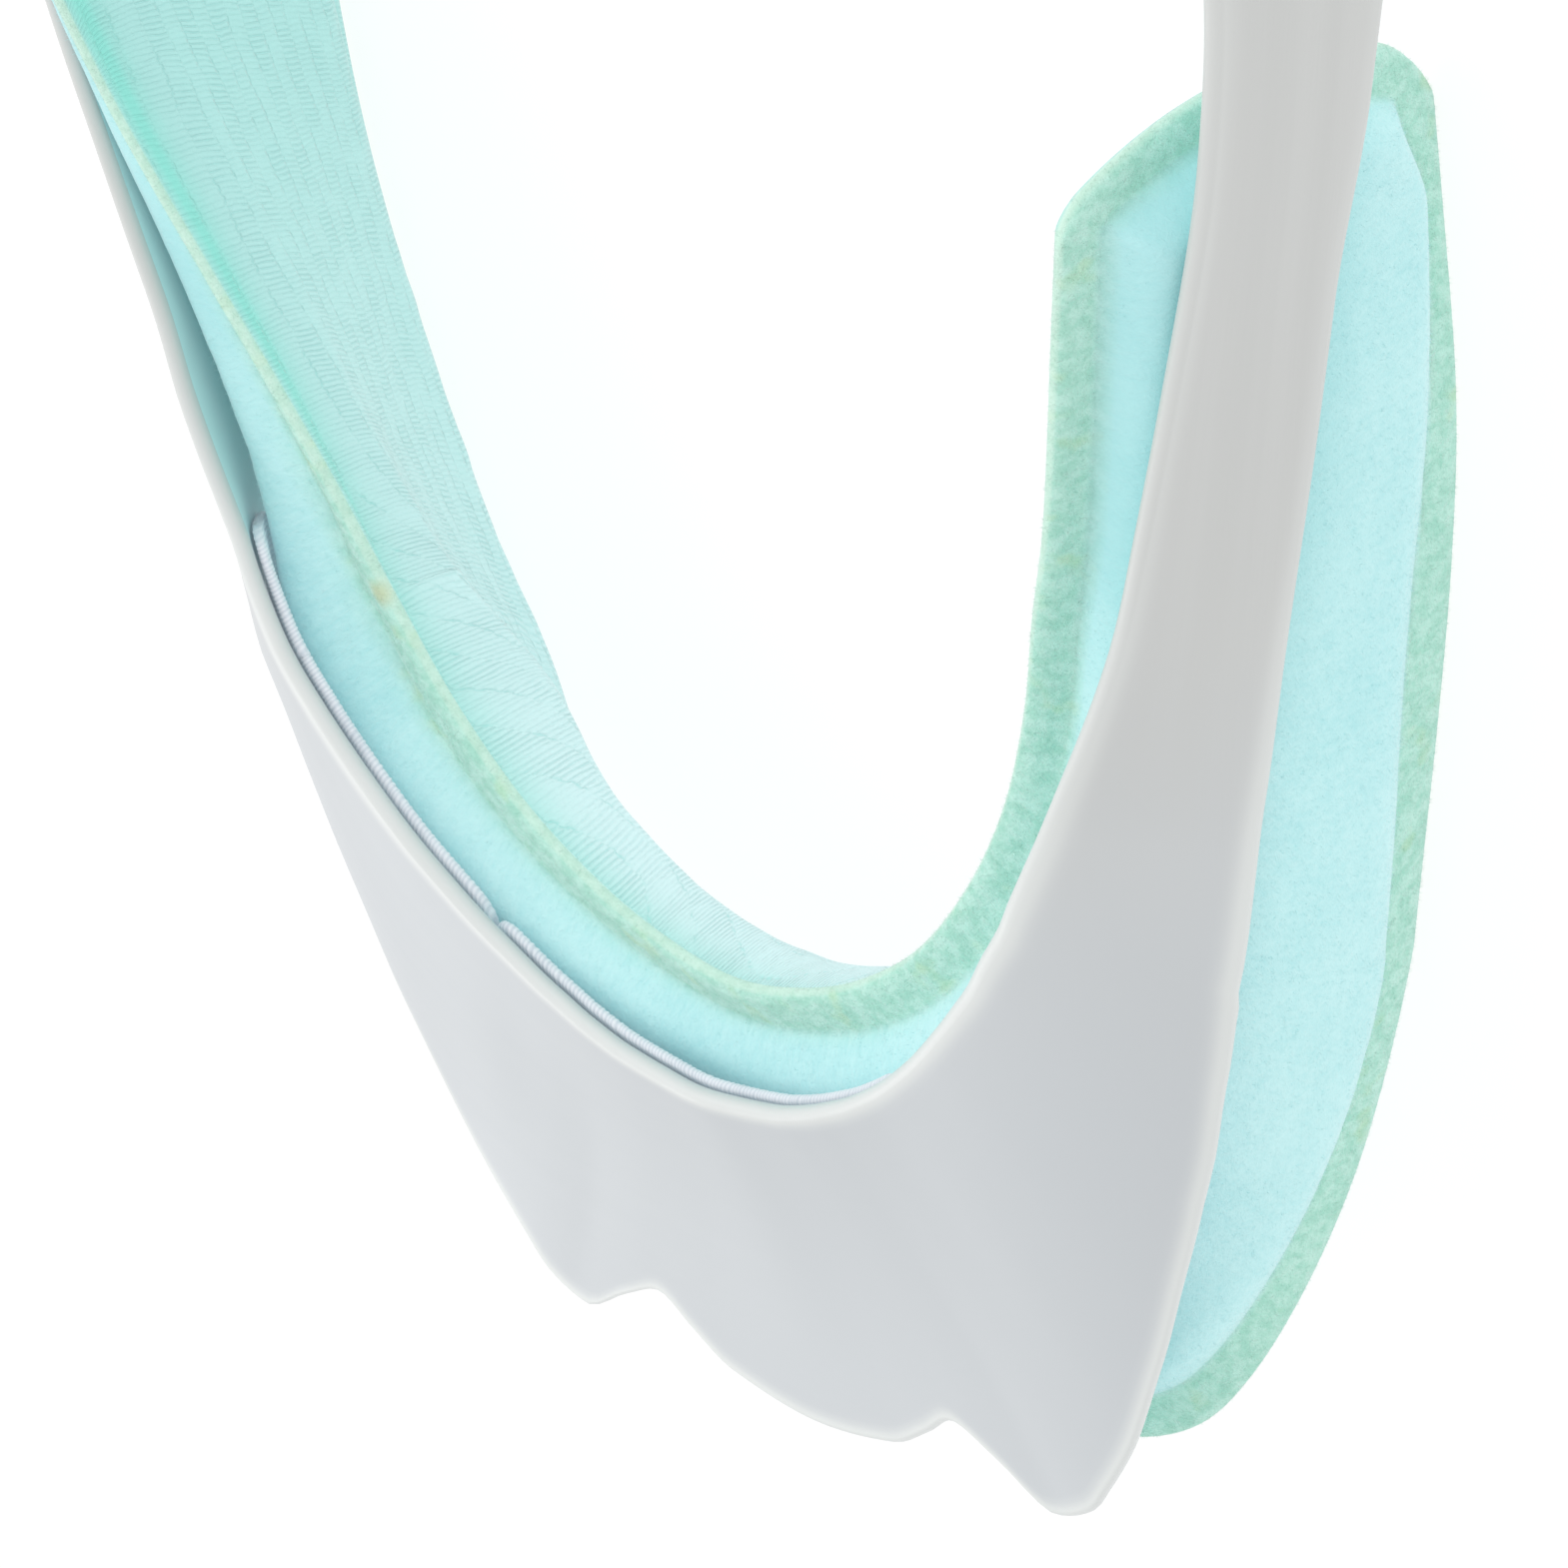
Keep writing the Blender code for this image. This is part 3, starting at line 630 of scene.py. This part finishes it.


def shell_material():
    made, shader, w = new_material("satin_plastic", PLASTIC, 0.4)
    body = w.add("TexCoord").outputs["Object"]
    place = w.add("UVMap", {"uv_map": "cloth"}).outputs[0]
    rim = w.add("Attribute", {"attribute_name": "rim"}).outputs["Fac"]
    split = w.add("SeparateXYZ")
    w.put(split.inputs[0], body)
    back = w.spread(split.outputs["Y"], -0.06, 0.04)
    on_arm = w.spread(split.outputs["Y"], -0.025, 0.03)
    clouds = w.noise(body, 22.0, 3.0, 0.55)
    warmth = w.math("MULTIPLY_ADD", clouds, 0.5, w.math("SUBTRACT", back, 0.25))
    colour = w.blend(w.spread(warmth, 0.0, 1.0), (*PLASTIC, 1.0), (*PLASTIC_WARM, 1.0))
    stretched = w.add("Mapping", Vector=place, Scale=(14.0, 420.0, 1.0)).outputs[0]
    flow = w.noise(stretched, 1.0, 3.0, 0.6)
    streaks = w.noise(w.add("Mapping", Vector=place, Scale=(5.0, 190.0, 1.0)).outputs[0], 1.0, 2.0, 0.5)
    streaked = w.math("MULTIPLY", on_arm, w.spread(streaks, 0.35, 0.65, 0.15, 0.9))
    colour = w.blend(streaked, colour, (*PLASTIC_STREAK, 1.0))
    # painted light: the shell's inner face is painted mint, for the light that the pad throws on it
    inner = w.add("Attribute", {"attribute_name": "inner"}).outputs["Fac"]
    colour = w.blend(w.math("MULTIPLY", inner, 0.75), colour, (*PLASTIC_INSIDE, 1.0))
    # painted highlight: the rounded rims and a band about a millimetre wide beside them are painted paler,
    # less on the arms
    rim_highlight = w.math("MULTIPLY", rim, w.math("MULTIPLY_ADD", on_arm, -0.55, 0.85))
    colour = w.blend(rim_highlight, colour, (*PLASTIC_RIM_HIGHLIGHT, 1.0))
    w.put(shader.inputs["Base Color"], colour)
    peel = w.noise(body, 1700.0, 2.0, 0.5)
    scratched = w.add("Mapping", Vector=place, Scale=(260.0, 1900.0, 1.0)).outputs[0]
    scuffs = w.spread(w.noise(scratched, 1.0, 4.0, 0.6), 0.62, 0.75)
    rough = w.math("MULTIPLY_ADD", flow, 0.10, 0.33)
    w.put(shader.inputs["Roughness"], w.math("MULTIPLY_ADD", scuffs, 0.10, rough))
    height = w.math("MULTIPLY_ADD", flow, 0.6, w.math("MULTIPLY", peel, 0.12))
    surface = w.add("Bump", Height=height, Strength=0.12, Distance=0.0004)
    w.put(shader.inputs["Normal"], surface.outputs[0])
    shader.inputs["Specular IOR Level"].default_value = 0.45
    return made


def build_shell():
    tip_start = ARM_END - ARM_TIP
    rows = np.concatenate(
        (
            stations(0.0, 2.6, 0.0008),
            stations(2.6, tip_start, 0.0022)[1:],
            tip_start + ARM_TIP * np.sin(np.radians(np.linspace(4, 88, 26))),
        )
    )
    low = smooth_table(1, rows)
    high = smooth_table(2, rows)
    past = np.clip((rows - tip_start) / ARM_TIP, 0, 1)
    half = 0.5 * (high - low) * np.sqrt(1 - past**2)
    middle = 0.5 * (high + low)
    width = np.linalg.norm(section(rows)[:, 0:3] - section(rows)[:, 3:6], axis=1)
    inset, out = wall_ring(SHELL_WALL / 2, SHELL_EDGE_ROUNDING, 9)
    shares = 0.5 - 0.5 * np.cos(math.pi * np.linspace(0, 1, 34))
    rounding = np.minimum(SHELL_EDGE_ROUNDING, 0.9 * half * width) / SHELL_EDGE_ROUNDING / width
    low_edge = (middle - half)[:, None] + inset[None, ::-1] * rounding[:, None]
    high_edge = (middle + half)[:, None] - inset[None, :] * rounding[:, None]
    face_low = low_edge[:, -1:]
    face_high = high_edge[:, :1]
    face = face_low + (face_high - face_low) * shares[None, 1:-1]
    across = np.concatenate((low_edge, face, high_edge, face[:, ::-1]), axis=1)
    flat = np.full(len(shares) - 2, SHELL_WALL / 2)
    offset = np.concatenate((out[::-1], flat, out, -flat))
    around = np.repeat(rows[:, None], across.shape[1], axis=1)
    distance = SHELL_INNER + SHELL_WALL / 2 + np.repeat(offset[None, :], len(rows), axis=0)
    half_points = shell_point(around, across, distance)
    half_points[0, :, 0] = 0.0
    points = both_sides(half_points, (-1, 1, 1))
    along = np.repeat(length_along(rows)[:, None], across.shape[1], axis=1)
    uv = np.stack((along, across * width[:, None]), axis=-1)
    uv = both_sides(uv, (-1, 1))
    # painted highlight: the rim mask covers the rounded edges and a band beside them on the faces
    curve = np.zeros(across.shape[1])
    steps = len(inset)
    curve[:steps] = smoothstep(np.linspace(0, 1.4, steps))
    high_start = steps + len(shares) - 2
    curve[high_start : high_start + steps] = smoothstep(np.linspace(1.4, 0, steps))
    faces_width = (face_high - face_low) * width[:, None]
    from_rim = np.minimum(shares[None, 1:-1], 1 - shares[None, 1:-1]) * faces_width
    band = np.exp(-((from_rim / 0.0011) ** 2))
    rim = np.repeat(curve[None, :], len(rows), axis=0)
    rim[:, steps:high_start] = np.maximum(rim[:, steps:high_start], band)
    rim = np.concatenate((rim[:0:-1], rim))
    inner = np.zeros(across.shape[1])
    inner[high_start + steps :] = 1.0
    inner = np.repeat(inner[None, :], len(points), axis=0)
    top = high_start + steps // 2
    bottom = steps // 2
    outer_run = list(range(bottom, top + 1))
    inner_run = [(bottom - k) % across.shape[1] for k in range(across.shape[1] - len(outer_run) + 2)]
    count = min(len(outer_run), len(inner_run))
    caps = [(outer_run[k], inner_run[k]) for k in range(count)]
    return ring_mesh("shell_wall", points, uv, {"rim": rim, "inner": inner}, caps, (shell_material(),))


shell = build_shell()
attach(shell, "root")
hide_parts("shell")

# The hook tape: woven grey-blue strips glued inside the shell's edges, one across the front and one on each
# side of it under the upper edge, with narrower ones inside the lower edge. The hooks stand on the side of
# the pad, and the woven edges look like twisted thread.

TAPE_WIDTH = 0.012
LOWER_TAPE_WIDTH = 0.007
TAPE_CORNER = 0.003
TAPE_INSET = 0.0004
THREAD_PITCH = 0.00062
FRONT_TAPE_END = 2.70
SIDE_TAPE = (2.73, 5.90)
LOWER_TAPE = (3.00, 4.45)

TAPE = (0.80, 0.83, 0.88)
TAPE_DEEP = (0.56, 0.62, 0.69)


def hook_tape_material():
    made, shader, w = new_material("hook_tape_weave", TAPE, 0.7)
    place = w.add("UVMap", {"uv_map": "cloth"}).outputs[0]
    body = w.add("TexCoord").outputs["Object"]
    thread = w.add("Attribute", {"attribute_name": "thread"}).outputs["Fac"]
    fibres = w.noise(w.add("Mapping", Vector=place, Scale=(5200.0, 1500.0, 1.0)).outputs[0], 1.0, 3.0, 0.6)
    patches = w.noise(body, 180.0, 2.0, 0.5)
    tone = w.math("MULTIPLY_ADD", patches, 0.4, w.math("MULTIPLY", thread, 0.4))
    shade = w.math("MULTIPLY_ADD", fibres, 0.5, tone)
    colour = w.blend(w.spread(shade, 0.25, 1.0), (*TAPE_DEEP, 1.0), (*TAPE, 1.0))
    w.put(shader.inputs["Base Color"], colour)
    relief = w.add("Bump", Height=fibres, Strength=0.5, Distance=0.0001)
    w.put(shader.inputs["Normal"], relief.outputs[0])
    # painted light: the tape glows a little with its own colour, to lift it where it lies in shade
    w.put(shader.inputs["Emission Color"], colour)
    shader.inputs["Emission Strength"].default_value = PAINTED_GLOW
    shader.inputs["Sheen Weight"].default_value = 0.3
    shader.inputs["Specular IOR Level"].default_value = 0.35
    return made


def build_tape(name, span, edge_column, upwards, tape_width, whole, side):
    """One strip as a tube of rings. whole mirrors it across the middle, side is -1 or 1 for the others."""
    start, end = span
    rows = stations(start, end, THREAD_PITCH / 4)
    length = length_along(rows)
    run = length[-1] - length if whole else np.minimum(length, length[-1] - length)
    short = np.clip(TAPE_CORNER - run, 0, TAPE_CORNER)
    rounding = TAPE_CORNER - np.sqrt(TAPE_CORNER**2 - short**2)
    edge = smooth_table(edge_column, rows)
    width = np.linalg.norm(section(rows)[:, 0:3] - section(rows)[:, 3:6], axis=1)
    half_thick = TAPE_THICKNESS / 2
    arc = np.linspace(0, math.pi, 8)
    flat = np.linspace(0, 1, 12)[1:-1]
    first = rounding + half_thick
    last = tape_width - rounding - half_thick
    near = first[:, None] - half_thick * np.sin(arc)[None, :]
    far = last[:, None] + half_thick * np.sin(arc)[None, :]
    face = first[:, None] + (last - first)[:, None] * flat[None, :]
    down = np.concatenate((face[:, ::-1], near, face, far), axis=1)
    out = np.concatenate((-np.ones(len(flat)), -np.cos(arc), np.ones(len(flat)), np.cos(arc))) * half_thick
    turn = np.concatenate((np.zeros(len(flat)), arc, np.full(len(flat), math.pi), math.pi - arc))
    on_hooks = np.concatenate((np.ones(len(flat)), np.cos(arc / 2), np.zeros(len(flat)), np.sin(arc / 2)))
    knots = np.arange(0.0, length[-1] + 0.002, 0.0011)
    uneven = np.interp(length, knots, np.random.default_rng(4).normal(0.0, 1.1, len(knots)))
    twist = np.sin((2 * math.pi * length / THREAD_PITCH + uneven)[:, None] + 1.1 * turn[None, :] + 900 * down)
    hooks = np.sin(2 * math.pi * length[:, None] / 0.0009) * np.sin(2 * math.pi * down / 0.0011)
    bumps = 0.00004 * twist + 0.00007 * hooks * on_hooks[None, :]
    middle = SHELL_INNER - CLEARANCE - half_thick
    distance = middle + out[None, :] * (0.88 + bumps / half_thick)
    across = (edge - upwards * TAPE_INSET / width)[:, None] - upwards * down / width[:, None]
    around = np.repeat(rows[:, None], across.shape[1], axis=1)
    points = shell_point(around, across, distance)
    uv = np.stack((np.repeat(length[:, None], across.shape[1], axis=1), down), axis=-1)
    thread = twist
    if whole:
        points[0, :, 0] = 0.0
        points = both_sides(points, (-1, 1, 1))
        uv = both_sides(uv, (-1, 1))
        thread = np.concatenate((thread[:0:-1], thread))
    points = points * (side, 1, 1)
    count = points.shape[1]
    far_middle = count - len(arc) // 2
    caps = [((far_middle + k) % count, far_middle - 1 - k) for k in range(count // 2)]
    return ring_mesh(name, points, uv, {"thread": 0.5 + 0.5 * thread}, caps, (hook_tape,))


hook_tape = hook_tape_material()
tapes = [("hook_tape_front", (0.0, FRONT_TAPE_END), 2, 1, TAPE_WIDTH, True, 1)]
for hand, side in (("left", -1), ("right", 1)):
    tapes.append(("hook_tape_side_" + hand, SIDE_TAPE, 2, 1, TAPE_WIDTH, False, side))
    tapes.append(("hook_tape_lower_" + hand, LOWER_TAPE, 1, -1, LOWER_TAPE_WIDTH, False, side))
for node, *sizes in tapes:
    tape = build_tape(node + "_strip", *sizes)
    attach(tape, "root")
    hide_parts(node)

# The loose fibres of the pad's cloths, and painted shade: short stiff ends stand out of the pressed border,
# and softer ones out of the brushed nap where the shell leaves it bare. Beside the shell's arms the cloth is
# painted deeper, as painted shade where the arms stand over the cushion.

BORDER_FIBRES = {"count": 45000, "longest": 0.0006, "radius": 0.000022, "lean": 0.7, "seed": 21}
CLOTH_FIBRES = {"count": 45000, "longest": 0.0008, "radius": 0.000026, "lean": 0.9, "seed": 8}
FIBRE_ROOM = 0.0013  # the shell stands at least this far off where fibres have room
ARM_SHADE_WIDTH = 0.0055


def quad_samples(points, weight, count, seed):
    """Random places on a grid of points: their position, outward direction, and grid row and column."""
    rng = np.random.default_rng(seed)
    a = points[:-1]
    b = points[1:]
    sides = np.roll(a, -1, axis=1) - a
    ends = b - a
    normal = np.cross(ends, sides)
    area = np.linalg.norm(normal, axis=-1)
    chance = (area * weight[:-1]).ravel()
    picked = rng.choice(len(chance), size=count, p=chance / chance.sum())
    row, column = np.divmod(picked, points.shape[1])
    u = rng.random(count)[:, None]
    v = rng.random(count)[:, None]
    place = a[row, column] + u * ends[row, column] + v * sides[row, column]
    facing_out = normal[row, column] / area[row, column][:, None]
    return place, facing_out, row, column, rng


def build_fibres(name, weight, count, longest, radius, lean, seed):
    """Straight tapering fibres, each a closed needle with three sides and its foot just inside the cloth."""
    place, out, row, column, rng = quad_samples(pad_points, weight, count, seed)
    wander = rng.normal(size=(count, 3))
    direction = out + lean * wander
    direction /= np.linalg.norm(direction, axis=1, keepdims=True)
    length = longest * rng.uniform(0.3, 1.0, count)[:, None]
    side = np.cross(direction, rng.normal(size=(count, 3)))
    side /= np.linalg.norm(side, axis=1, keepdims=True)
    other = np.cross(direction, side)
    foot = place - 0.0001 * out
    corners = [foot + direction * length]
    for k in range(3):
        angle = 2 * math.pi * k / 3
        corners.append(foot + radius * (math.cos(angle) * side + math.sin(angle) * other))
    points = np.stack(corners, axis=1).reshape(-1, 3)
    points[:, 2] = np.maximum(points[:, 2], 0.0)
    faces = []
    for k in range(0, 4 * count, 4):
        faces += [(k, k + 1, k + 2), (k, k + 2, k + 3), (k, k + 3, k + 1), (k + 3, k + 2, k + 1)]
    mesh = bpy.data.meshes.new(name)
    mesh.from_pydata(points.tolist(), [], faces)
    mesh.shade_smooth()
    mesh.materials.append(loop_cloth)
    corner_vertex = np.zeros(len(mesh.loops), np.int32)
    mesh.loops.foreach_get("vertex_index", corner_vertex)
    layer = mesh.uv_layers.new(name="cloth")
    layer.data.foreach_set("uv", pad_uv[row, column][corner_vertex // 4].astype(np.float32).ravel())
    for label in ("pressed", "cut_edge"):
        attribute = mesh.attributes.new(label, "FLOAT", "POINT")
        attribute.data.foreach_set("value", np.repeat(pad_masks[label][row, column], 4).astype(np.float32))
    made = bpy.data.objects.new(name, mesh)
    bpy.context.scene.collection.objects.link(made)
    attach(made, "root")
    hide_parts("pad")


shell_side_columns = np.arange(pad_points.shape[1])[None, :] < pad_points.shape[1] / 2 + 3
border_weight = pad_masks["pressed"] * shell_side_columns
build_fibres("pad_border_fibres", border_weight, **BORDER_FIBRES)
around, across = pad_sites[..., 0], pad_sites[..., 1]
low, high, low_lift, high_lift = (smooth_table(column, around) for column in (1, 2, 3, 4))
height_share = (across - low) / (high - low)
stand_off = SHELL_LIFT * (low_lift + (high_lift - low_lift) * height_share)
bare = np.where((height_share < -0.05) | (height_share > 1.05) | (stand_off > FIBRE_ROOM), 1.0, 0.0)
cloth_weight = (1 - pad_masks["pressed"]) * bare * shell_side_columns
build_fibres("pad_cloth_fibres", cloth_weight, **CLOTH_FIBRES)

# painted shade: beside the shell's arms the cloth is painted deeper, fading out a few millimetres from the
# shell's edges, in place of the shade the arms throw
from_shell = np.clip(np.maximum(low - across, across - high), 0, None) * PAD_HEIGHT
on_arm = smoothstep((around - 6) / 2) * (1 - smoothstep((around - PAD_END + 0.25) / 0.25))
arm_shade = np.exp(-((from_shell / ARM_SHADE_WIDTH) ** 2)) * on_arm
tone = pad.data.attributes.new("arm_shade", "FLOAT", "POINT")
tone.data.foreach_set("value", arm_shade.astype(np.float32).ravel())

# The studio: a plain pale floor under soft white light from all round, with soft panels above at the left, in
# front at the left and behind, and a weak one at the right that puts long highlights on the arm. The camera
# looks down at the photograph's angle.

FLOOR_GREY = 0.25
FLOOR_GLOW = 0.80
ROOM_LIGHT = 0.85
AIM = (0, 0, 0.02)

floor_mesh = bpy.data.meshes.new("floor")
floor_mesh.from_pydata([(-3, -3, 0), (3, -3, 0), (3, 3, 0), (-3, 3, 0)], [], [(0, 1, 2, 3)])
floor = bpy.data.objects.new("floor", floor_mesh)
floor.location = (0.0, 0.0, -0.0002)
bpy.context.scene.collection.objects.link(floor)
paper, paper_shader, _ = new_material("pale_paper", (FLOOR_GREY,) * 3, 0.9)
paper_shader.inputs["Specular IOR Level"].default_value = 0.0
paper_shader.inputs["Emission Color"].default_value = (1.0, 1.0, 1.0, 1.0)
paper_shader.inputs["Emission Strength"].default_value = FLOOR_GLOW
floor_mesh.materials.append(paper)

world = bpy.data.worlds.new("studio")
bpy.context.scene.world = world
world.use_nodes = True
world.node_tree.nodes["Background"].inputs["Color"].default_value = (1.0, 1.0, 1.0, 1.0)
world.node_tree.nodes["Background"].inputs["Strength"].default_value = ROOM_LIGHT

for label, place, size, power in (
    ("panel_upper_left", (-0.55, 0.35, 0.85), 0.7, 1.7),
    ("panel_left_front", (-0.8, -0.6, 0.45), 0.6, 1.5),
    ("panel_behind", (0.05, 0.95, 0.5), 0.6, 1.2),
    ("panel_right", (0.75, -0.25, 0.55), 0.3, 0.2),
):
    data = bpy.data.lights.new(label, "AREA")
    data.shape = "SQUARE"
    data.size = size
    data.energy = power
    lamp = bpy.data.objects.new(label, data)
    lamp.location = place
    lamp.rotation_euler = (Vector(AIM) - Vector(place)).to_track_quat("-Z", "Y").to_euler()
    bpy.context.scene.collection.objects.link(lamp)

CAMERA_PLACE = (0.32207, 0.23830, 0.33255)
CAMERA_RIGHT = (0.743715, -0.133868, -0.654956)
CAMERA_UP = (-0.260479, 0.844279, -0.468342)
CAMERA_BACK = (0.615662, 0.518915, 0.593033)
FOCAL_LENGTH = 114.72

lens = bpy.data.cameras.new("camera")
lens.sensor_width = 36.0
lens.lens = FOCAL_LENGTH
lens.clip_start = 0.01
camera = bpy.data.objects.new("camera", lens)
turned = Matrix((CAMERA_RIGHT, CAMERA_UP, CAMERA_BACK)).transposed().to_4x4()
turned.translation = Vector(CAMERA_PLACE)
camera.matrix_world = turned
bpy.context.scene.collection.objects.link(camera)
bpy.context.scene.camera = camera
bpy.context.scene.view_settings.view_transform = "Standard"
